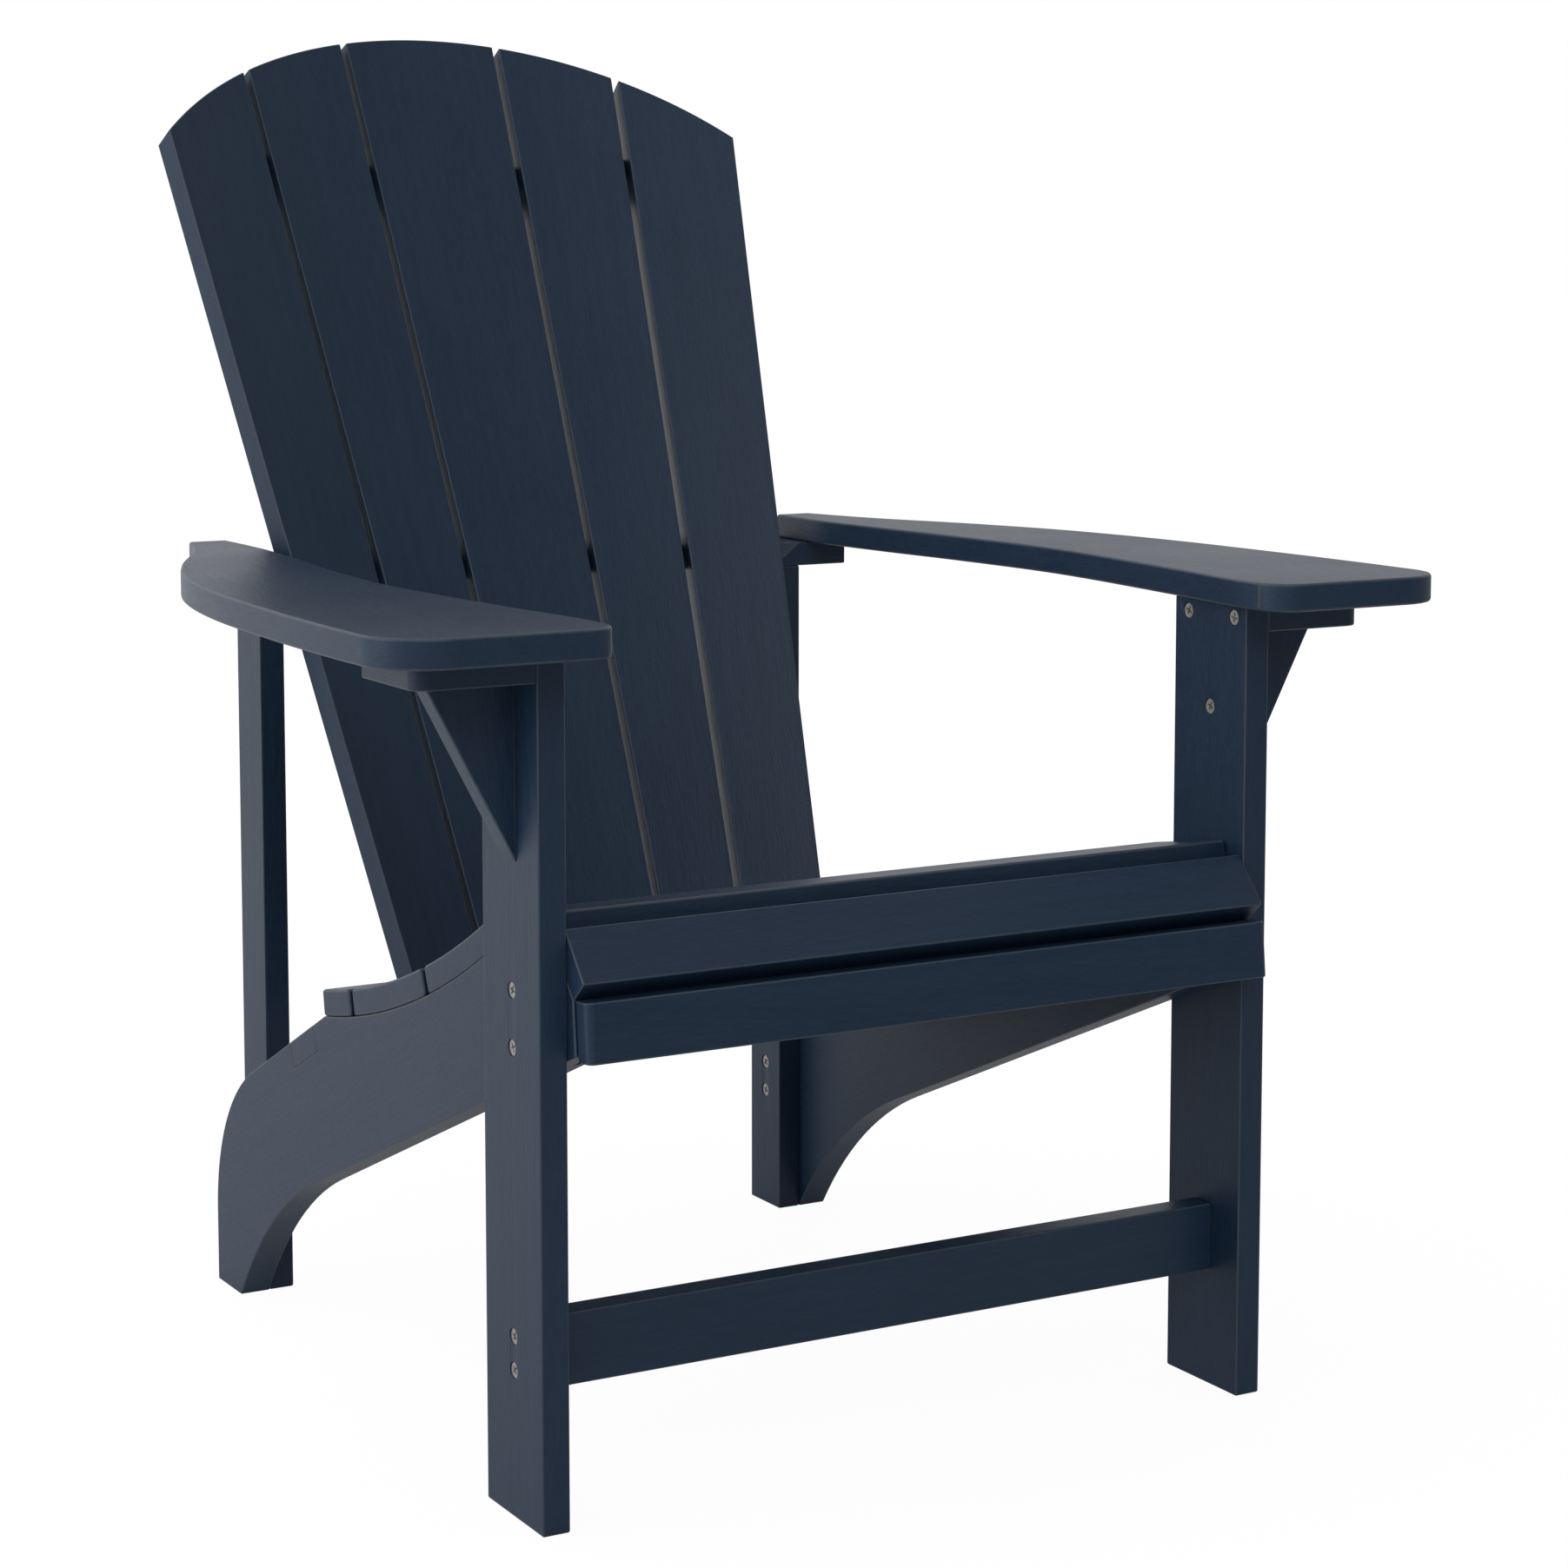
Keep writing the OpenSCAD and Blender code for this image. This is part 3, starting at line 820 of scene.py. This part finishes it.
class CHAIR_OT_back_slats(ChairOperator, bpy.types.Operator):
    """Make the fan of hollowed back slats"""

    bl_idname = "chair.back_slats"
    bl_label = "Back Slats"

    def execute(self, context):
        chair = context.scene.chair
        back, boards = chair.back, chair.boards
        lumber = shared_material("plastic_lumber", plastic_lumber)
        former = slat_tree()
        order = sorted(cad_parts)
        names = ("Thickness", "Hollow Radius", "Hollow Depth", "Crown Radius", "Height", "Recline")
        names += ("Edge Turn", "Foot Back", "Foot Up", "Columns", "Rows")
        shared = {name: getattr(back, name.lower().replace(" ", "_")) for name in names}
        for node, (left, right) in fan_edges(back).items():
            values = {
                **shared,
                "Left Foot": left[0],
                "Left Spread": left[1],
                "Right Foot": right[0],
                "Right Spread": right[1],
                "Material": lumber,
            }
            mesh = former.make(bpy.data.meshes.new(node + "_base"), node + "_formed", values)
            require_fit(node, mesh)
            solid = bmesh.new()
            solid.from_mesh(mesh)
            bpy.data.meshes.remove(mesh)
            bmesh.ops.remove_doubles(solid, verts=solid.verts, dist=MERGE)
            edges = [e for e in solid.edges if e.calc_face_angle(0) > BOX_EDGE]
            rounded = round_edges(solid, edges, boards.slat_edge, boards.edge_segments)
            finish_board(node, solid, rounded, order.index(node))
        return {"FINISHED"}


class CHAIR_OT_back_rails(ChairOperator, bpy.types.Operator):
    """Make the three curved rails behind the back"""

    bl_idname = "chair.back_rails"
    bl_label = "Back Rails"

    def execute(self, context):
        return make_boards(BACK_RAILS, context.scene.chair.boards.frame_edge)


class CHAIR_OT_arms(ChairOperator, bpy.types.Operator):
    """Make the two wide arms"""

    bl_idname = "chair.arms"
    bl_label = "Arms"

    def execute(self, context):
        return make_boards(ARMS, context.scene.chair.boards.arm_edge)


class CHAIR_OT_brackets(ChairOperator, bpy.types.Operator):
    """Make the cleats and the gussets that carry the arms"""

    bl_idname = "chair.brackets"
    bl_label = "Arm Brackets"

    def execute(self, context):
        return make_boards(BRACKETS, context.scene.chair.boards.frame_edge)


# ---------------------------------------------------------------- back


def slat_tree():
    """Bends and tapers a block into one slat of the hollow fan, up to the round crown."""
    sizes = ("Thickness", "Hollow Radius", "Hollow Depth", "Crown Radius", "Height", "Recline")
    edges = ("Left Foot", "Left Spread", "Right Foot", "Right Spread", "Edge Turn")
    places = ("Foot Back", "Foot Up")
    inputs = {name: "Float" for name in (*sizes, *edges, *places)}
    former = Former("back_slat", {**inputs, "Columns": "Int", "Rows": "Int"})
    given = former.given
    hollow, height = given["Hollow Radius"], given["Height"]
    crown, thickness = given["Crown Radius"], given["Thickness"]

    sockets = {"Size": (1.0, 1.0, 1.0), "Vertices X": given["Columns"], "Vertices Y": 2}
    block = former.signal("GeometryNodeMeshCube", {}, {**sockets, "Vertices Z": given["Rows"]})
    start = former.signal("GeometryNodeInputPosition")
    across, through, along = (part + 0.5 for part in former.parts(start))
    ring = hollow + through * thickness

    def edge(foot, spread):
        """Gives x where the edge's plane meets the ring, as a function of the height."""
        middle = foot + spread * height * 0.5
        turn = (middle / hollow).arcsin() * given["Edge Turn"]
        cos, sin = turn.cos(), turn.sin()
        set_in = sin * (hollow * hollow - middle * middle).sqrt()

        def at(rise):
            off = cos * (foot + spread * rise) - set_in
            return off * cos + sin * (ring * ring - off * off).sqrt()

        return at

    left = edge(given["Left Foot"], given["Left Spread"])
    right = edge(given["Right Foot"], given["Right Spread"])

    def side(rise):
        near = left(rise)
        return near + across * (right(rise) - near)

    top = height
    for _ in range(4):
        x = side(top)
        top = height - crown + (crown * crown - x * x).sqrt()
    rise = along * (top + thickness) - thickness
    x = side(rise)
    back = given["Hollow Depth"] - hollow + (ring * ring - x * x).sqrt()
    cos, sin = given["Recline"].cos(), given["Recline"].sin()
    place = former.point(
        x,
        given["Foot Back"] + back * cos + rise * sin,
        given["Foot Up"] + rise * cos - back * sin,
    )
    former.end(former.signal("GeometryNodeSetPosition", {}, {"Geometry": block, "Position": place}))
    return former


def fan_edges(back):
    """Each slat's left and right edges, as (place at the foot, spread)."""
    centre, inner, outer = back.spreads
    inner_in = back.centre_half + back.gap
    inner_out = inner_in + back.inner_foot
    outer_in = inner_out + back.gap
    outer_out = outer_in + back.outer_foot
    sides = {
        "inner": ((inner_in, centre), (inner_out, inner)),
        "outer": ((outer_in, inner), (outer_out, outer)),
    }
    found = {"centre_slat": ((-back.centre_half, -centre), (back.centre_half, centre))}
    for name, (near, far) in sides.items():
        found[f"right_{name}_slat"] = (near, far)
        found[f"left_{name}_slat"] = tuple((-foot, -spread) for foot, spread in (far, near))
    return found


def require_fit(node, mesh, most=0.0015):
    """Stops the script if a made piece leaves its CAD node's box."""
    places = np.array([v.co for v in mesh.vertices])
    low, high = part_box(node)
    off = max(np.abs(places.min(0) - low).max(), np.abs(places.max(0) - high).max())
    if off > most:
        raise RuntimeError(f"{node} is {off * 1000:.2f} mm off its CAD solid")


# ---------------------------------------------------------------- screws


def cross_outline(reach, half):
    """A cross of four arms, as twelve points in order."""
    points = []
    for turn in range(4):
        spin = Matrix.Rotation(turn * math.pi / 2, 2)
        for corner in ((reach, -half), (reach, half), (half, half)):
            points.append(spin @ Vector(corner))
    return points


def screw_head(sizes):
    """A countersunk head with a tapered cross recess, its face at z = 0 and its body below."""
    radius, shank = sizes.head_diameter / 2, sizes.shank_diameter / 2
    solid = bmesh.new()

    def ring(points, height):
        return [solid.verts.new((x, y, height)) for x, y in points]

    def circle(size):
        turns = np.linspace(0, math.tau, FACETS + 1)[:-1]
        return [(size * math.cos(t), size * math.sin(t)) for t in turns]

    def wall(upper, lower):
        count = len(upper)
        for i in range(count):
            j = (i + 1) % count
            solid.faces.new((upper[i], lower[i], lower[j], upper[j]))

    face = ring(circle(radius - 0.0004), 0.0)
    rim = ring(circle(radius), -0.0004)
    neck = ring(circle(shank), -(radius - shank) - 0.0002)
    wall(face, rim)
    wall(rim, neck)
    mouth = ring(cross_outline(radius * 0.58, radius * 0.15), 0.0)
    slope = ring(cross_outline(radius * 0.5, radius * 0.11), -sizes.recess_depth * 0.55)
    floor = ring(cross_outline(radius * 0.22, radius * 0.09), -sizes.recess_depth)
    wall(slope, mouth)
    wall(floor, slope)
    solid.faces.new(floor)
    solid.faces.new(list(reversed(neck)))
    edges = [solid.edges.get((a, b)) for a, b in zip(face, face[1:] + face[:1])]
    edges += [solid.edges.get((a, b)) for a, b in zip(mouth, mouth[1:] + mouth[:1])]
    bmesh.ops.triangle_fill(solid, edges=edges, use_beauty=True)
    bmesh.ops.recalc_face_normals(solid, faces=solid.faces)
    for face in solid.faces:
        face.smooth = len(face.verts) == 4 and abs(face.normal.z) < 0.9
    mesh = bpy.data.meshes.new("screw_head")
    solid.to_mesh(mesh)
    solid.free()
    mesh.set_sharp_from_angle(angle=math.radians(40))
    head = bpy.data.objects.new("screw_head", mesh)
    bpy.context.scene.collection.objects.link(head)
    return head


def screw_tree():
    """Drives a screw at each point, along the point's axis and as long as it says."""
    inputs = {"Head": "Object", "Head Height": "Float", "Shank Diameter": "Float", "Seed": "Int"}
    former = Former("drive_screws", {**inputs, "Tip": "Float"})
    given = former.given
    sites, axis = given["Base"], former.attribute("screw_axis", "FLOAT_VECTOR")
    body = former.attribute("screw_length", "FLOAT") - given["Head Height"] - given["Tip"]
    radius = given["Shank Diameter"] * 0.5

    facing = former.signal("FunctionNodeAlignRotationToVector", {"axis": "Z"}, {"Vector": axis})
    sockets = {"Min_001": 0.0, "Max_001": math.pi / 2, "Seed": given["Seed"]}
    turn = former.signal("FunctionNodeRandomValue", {"data_type": "FLOAT"}, sockets, output=1)
    spin = former.signal("FunctionNodeEulerToRotation", {}, {"Euler": former.point(0.0, 0.0, turn)})
    sockets = {"Rotation": facing, "Rotate By": spin}
    turned = former.signal("FunctionNodeRotateRotation", {"rotation_space": "LOCAL"}, sockets)

    def stand(piece, points, size=(1.0, 1.0, 1.0)):
        sockets = {"Points": points, "Instance": piece, "Rotation": turned, "Scale": size}
        return former.signal("GeometryNodeInstanceOnPoints", {}, sockets)

    def down(points, distance):
        sockets = {"Geometry": points, "Offset": former.scaled(axis, 0.0 - distance)}
        return former.signal("GeometryNodeSetPosition", {}, sockets)

    head = former.signal("GeometryNodeObjectInfo", {}, {"Object": given["Head"]}, output=4)
    sockets = {"Vertices": 16, "Radius": radius, "Depth": 1.0}
    shank = former.signal("GeometryNodeMeshCylinder", {"fill_type": "NGON"}, sockets)
    sockets = {"Geometry": shank, "Translation": (0.0, 0.0, -0.5)}
    shank = former.signal("GeometryNodeTransform", {}, sockets)
    sockets = {"Vertices": 16, "Radius Top": 0.0005, "Radius Bottom": radius, "Depth": given["Tip"]}
    cone = former.signal("GeometryNodeMeshCone", {"fill_type": "NGON"}, sockets)
    sockets = {"Geometry": cone, "Rotation": (math.pi, 0.0, 0.0)}
    cone = former.signal("GeometryNodeTransform", {}, sockets)

    under = down(sites, given["Head Height"])
    joined = former.node("GeometryNodeJoinGeometry")
    for piece in (
        stand(cone, down(under, body)),
        stand(shank, under, former.point(1.0, 1.0, body)),
        stand(head, sites),
    ):
        former.tree.links.new(piece.socket, joined.inputs[0])
    former.end(Signal(former, joined.outputs[0]))
    return former


class CHAIR_OT_screws(ChairOperator, bpy.types.Operator):
    """Drive the flat-headed screws, a group for each joint"""

    bl_idname = "chair.screws"
    bl_label = "Screws"

    def execute(self, context):
        sizes = context.scene.chair.screws
        steel = shared_material("plated_steel", plated_steel)
        head = screw_head(sizes)
        former = screw_tree()
        for seed, (node, screws) in enumerate(SCREWS.items()):
            points = bpy.data.meshes.new(node + "_sites")
            points.from_pydata([place for place, _, _ in screws], [], [])
            axes = points.attributes.new("screw_axis", "FLOAT_VECTOR", "POINT")
            axes.data.foreach_set("vector", np.array([-axis for _, axis, _ in screws]).ravel())
            lengths = points.attributes.new("screw_length", "FLOAT", "POINT")
            lengths.data.foreach_set("value", np.array([length for _, _, length in screws]))
            values = {
                "Head": head,
                "Head Height": (sizes.head_diameter - sizes.shank_diameter) / 2,
                "Shank Diameter": sizes.shank_diameter,
                "Tip": TIP,
                "Seed": seed,
                "Material": steel,
            }
            mesh = former.make(points, node + "_finished", values)
            piece = bpy.data.objects.new(node + "_finished", mesh)
            context.scene.collection.objects.link(piece)
            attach(piece, "root")
            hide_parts(node)
        bpy.data.objects.remove(head)
        return {"FINISHED"}


class CHAIR_OT_dowels(ChairOperator, bpy.types.Operator):
    """Finish the hidden dowels that hold the seat boards"""

    bl_idname = "chair.dowels"
    bl_label = "Seat Dowels"

    def execute(self, context):
        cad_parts["seat_dowels"].data.materials.clear()
        dowel = shared_material("plastic_dowel", plastic_dowel)
        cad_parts["seat_dowels"].data.materials.append(dowel)
        return {"FINISHED"}


# ---------------------------------------------------------------- stage


def add_softbox(name, place, size, power, aim):
    light = bpy.data.lights.new(name, "AREA")
    light.shape = "RECTANGLE"
    light.size, light.size_y = size
    light.energy = power
    lamp = bpy.data.objects.new(name, light)
    lamp.location = place
    lamp.rotation_euler = (Vector(aim) - Vector(place)).to_track_quat("-Z", "Y").to_euler()
    bpy.context.scene.collection.objects.link(lamp)
    return lamp


def studio_room(studio):
    """A white room, dimmer on the side the camera stands on."""
    world = bpy.data.worlds.new("studio_room")
    recipe = shader_recipe(world)
    way = recipe.signal("ShaderNodeTexCoord")
    x, y, z = recipe.parts(way)
    lit = ((y * 0.62 - x * 0.35 + z * 0.35) * 0.6 + 0.5).clamp()
    strength = studio.room_dim + lit * (studio.room_bright - studio.room_dim)
    seen = recipe.signal("ShaderNodeLightPath")
    room = recipe.signal("ShaderNodeBackground", {}, {"Color": (1, 1, 1, 1), "Strength": strength})
    white = recipe.signal("ShaderNodeBackground", {}, {"Color": (1, 1, 1, 1), "Strength": 1.0})
    both = recipe.signal("ShaderNodeMixShader", {}, {0: seen, 1: room, 2: white})
    recipe.node("ShaderNodeOutputWorld", {}, {"Surface": both})
    bpy.context.scene.world = world


def pale_floor(studio):
    """A wide white floor that takes only a faint shadow."""
    mesh = bpy.data.meshes.new("studio_floor")
    reach = 30.0
    corners = ((-reach, -reach, 0), (reach, -reach, 0), (reach, reach, 0), (-reach, reach, 0))
    mesh.from_pydata(corners, [], [(0, 1, 2, 3)])
    material = bpy.data.materials.new("studio_floor")
    recipe = shader_recipe(material)
    seen = recipe.signal("ShaderNodeLightPath")
    place = recipe.signal("ShaderNodeTexCoord", output=3)
    far = recipe.signal("ShaderNodeVectorMath", {"operation": "LENGTH"}, {0: place}, output=1)
    fade = ((far - 0.5) * 0.5).clamp() * 0.08 + 0.92
    x, y, _ = recipe.parts(place)
    lit = ((y - x) * 0.12 + 0.35).clamp() * studio.floor_glow
    matt = recipe.signal("ShaderNodeBsdfDiffuse", {}, {"Color": (0.5, 0.5, 0.5, 1)})
    bounce = recipe.signal("ShaderNodeEmission", {}, {"Color": (1, 1, 1, 1), "Strength": lit})
    paint = recipe.signal("ShaderNodeAddShader", {}, {0: matt, 1: bounce})
    glow = recipe.signal("ShaderNodeEmission", {}, {"Color": (1, 1, 1, 1), "Strength": 1.03})
    recipe.surface(recipe.signal("ShaderNodeMixShader", {}, {0: seen * fade, 1: paint, 2: glow}))
    mesh.materials.append(material)
    floor = bpy.data.objects.new("studio_floor", mesh)
    bpy.context.scene.collection.objects.link(floor)


class CHAIR_OT_stage(ChairOperator, bpy.types.Operator):
    """Set the floor, the room, the softboxes and the camera"""

    bl_idname = "chair.stage"
    bl_label = "Studio Stage"

    def execute(self, context):
        scene = context.scene
        studio = scene.chair.studio
        scene.view_settings.view_transform = "Standard"
        studio_room(studio)
        pale_floor(studio)
        add_softbox("front_softbox", (-1.2, -4.2, 3.4), (3.0, 2.2), studio.key_power, (0, 0, 0.5))
        add_softbox("left_softbox", (-4.5, 0.6, 1.8), (2.6, 2.6), studio.side_power, (0, 0, 0.5))
        lens = bpy.data.cameras.new("studio_camera")
        lens.lens = studio.lens
        lens.sensor_width = SENSOR
        lens.shift_x, lens.shift_y = SHIFT
        camera = bpy.data.objects.new("studio_camera", lens)
        camera.location = studio.camera_place
        camera.rotation_euler = (math.pi / 2 - studio.camera_dip, 0.0, -studio.camera_turn)
        scene.collection.objects.link(camera)
        scene.camera = camera
        return {"FINISHED"}


# ---------------------------------------------------------------- panel and main


OPERATORS = (
    CHAIR_OT_stage,
    CHAIR_OT_legs,
    CHAIR_OT_stringers,
    CHAIR_OT_rear_posts,
    CHAIR_OT_stretcher,
    CHAIR_OT_seat_boards,
    CHAIR_OT_nose_board,
    CHAIR_OT_apron,
    CHAIR_OT_back_slats,
    CHAIR_OT_back_rails,
    CHAIR_OT_arms,
    CHAIR_OT_brackets,
    CHAIR_OT_screws,
    CHAIR_OT_dowels,
)


class CHAIR_PT_panel(bpy.types.Panel):
    """Lists the chair's settings and the operators that make its pieces"""

    bl_idname = "CHAIR_PT_panel"
    bl_label = "Garden Chair"
    bl_space_type = "VIEW_3D"
    bl_region_type = "UI"
    bl_category = "Chair"

    def draw(self, context):
        chair = context.scene.chair
        for group in (chair.boards, chair.back, chair.screws, chair.finish, chair.studio):
            box = self.layout.box()
            for name in group.bl_rna.properties.keys():
                if name not in ("rna_type", "name"):
                    box.prop(group, name)
        column = self.layout.column(align=True)
        for operator in OPERATORS:
            column.operator(operator.bl_idname)


GROUPS = (BoardSizes, BackFan, ScrewSizes, Finish, Studio, ChairSettings)
CLASSES = (*GROUPS, *OPERATORS, CHAIR_PT_panel)


def register():
    for cls in CLASSES:
        bpy.utils.register_class(cls)
    bpy.types.Scene.chair = PointerProperty(type=ChairSettings)


def unregister():
    del bpy.types.Scene.chair
    for cls in reversed(CLASSES):
        bpy.utils.unregister_class(cls)


def main():
    """Makes every piece."""
    register()
    for operator in OPERATORS:
        group, name = operator.bl_idname.split(".")
        getattr(getattr(bpy.ops, group), name)()


if __name__ == "__main__":
    main()
